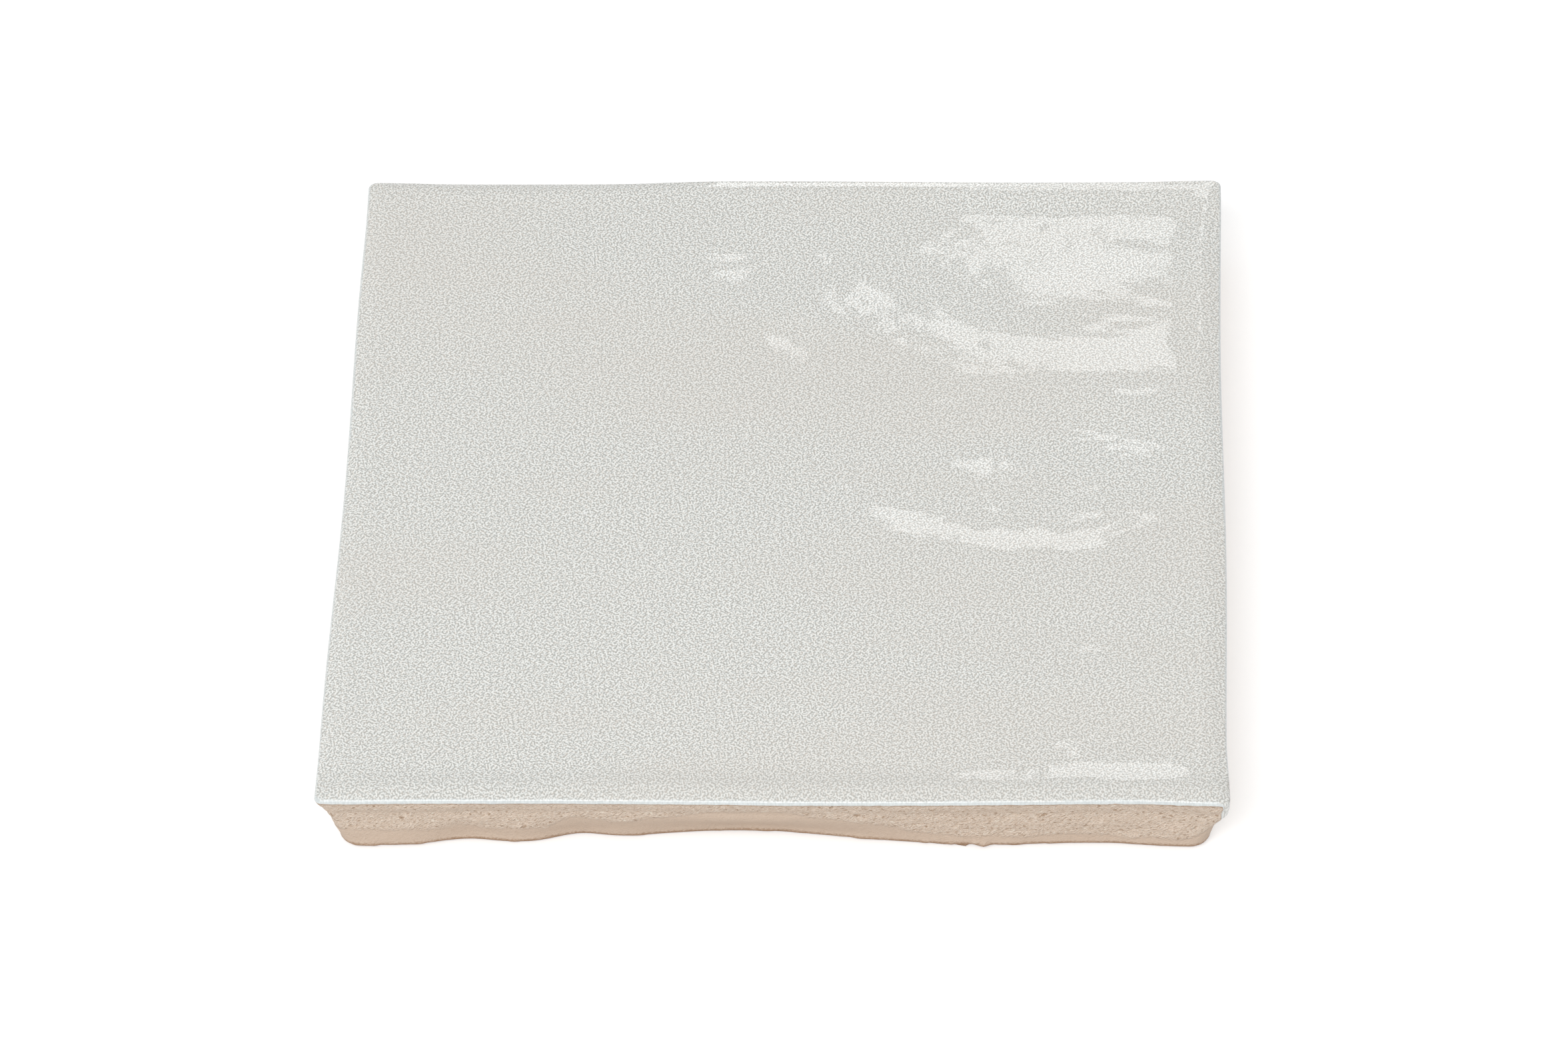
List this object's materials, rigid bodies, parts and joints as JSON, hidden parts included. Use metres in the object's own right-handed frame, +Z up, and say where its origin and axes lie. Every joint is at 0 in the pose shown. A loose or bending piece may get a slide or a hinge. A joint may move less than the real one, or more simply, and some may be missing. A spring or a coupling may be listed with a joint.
{
  "type": "zellige tile",
  "caption": "Square handmade wall tile with a wavy off-white glazed face, terracotta walls that turn in below the rim, hollows along their foot, and a flat back.",
  "frame": {"origin": "centre of the flat back, on the surface that the tile rests on", "axes": "+Z up through the thickness, towards the glazed face; +X to the right and +Y away from the front wall as pictured"},
  "size_m": [0.1, 0.1, 0.0103],
  "materials": {
    "glazed_clay": "off-white gloss glaze on the face over unglazed pale terracotta"
  },
  "bodies": {
    "root": {"tile": "glazed_clay"}
  },
  "joints": []
}
